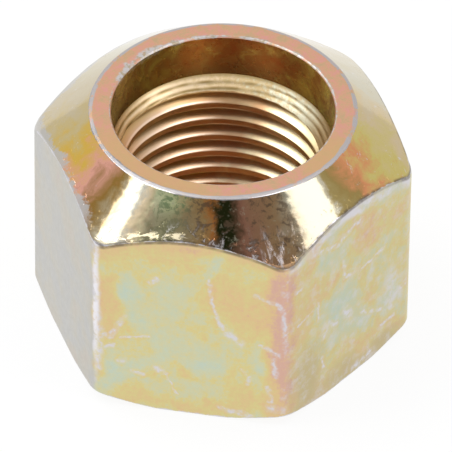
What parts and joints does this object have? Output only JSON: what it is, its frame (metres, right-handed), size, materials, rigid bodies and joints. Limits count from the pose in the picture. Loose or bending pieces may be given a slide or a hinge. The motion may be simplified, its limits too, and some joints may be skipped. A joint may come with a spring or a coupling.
{
  "type": "lug nut",
  "caption": "Hexagonal steel lug nut with a conical seat, a counterbored mouth and a threaded through hole, for clamping a wheel to its hub on a stud.",
  "frame": {"origin": "centre of the flat base, on the thread's axis", "axes": "+Z along the thread towards the conical seat, +X through a corner of the hexagon, flats facing +Y and -Y"},
  "size_m": [0.0252, 0.0222, 0.0171],
  "materials": {
    "yellow_zinc_steel": "yellow chromate over zinc plate, iridescent, worn to bare zinc on edges and scratches"
  },
  "bodies": {
    "root": {"lug_nut": "yellow_zinc_steel"}
  },
  "joints": []
}
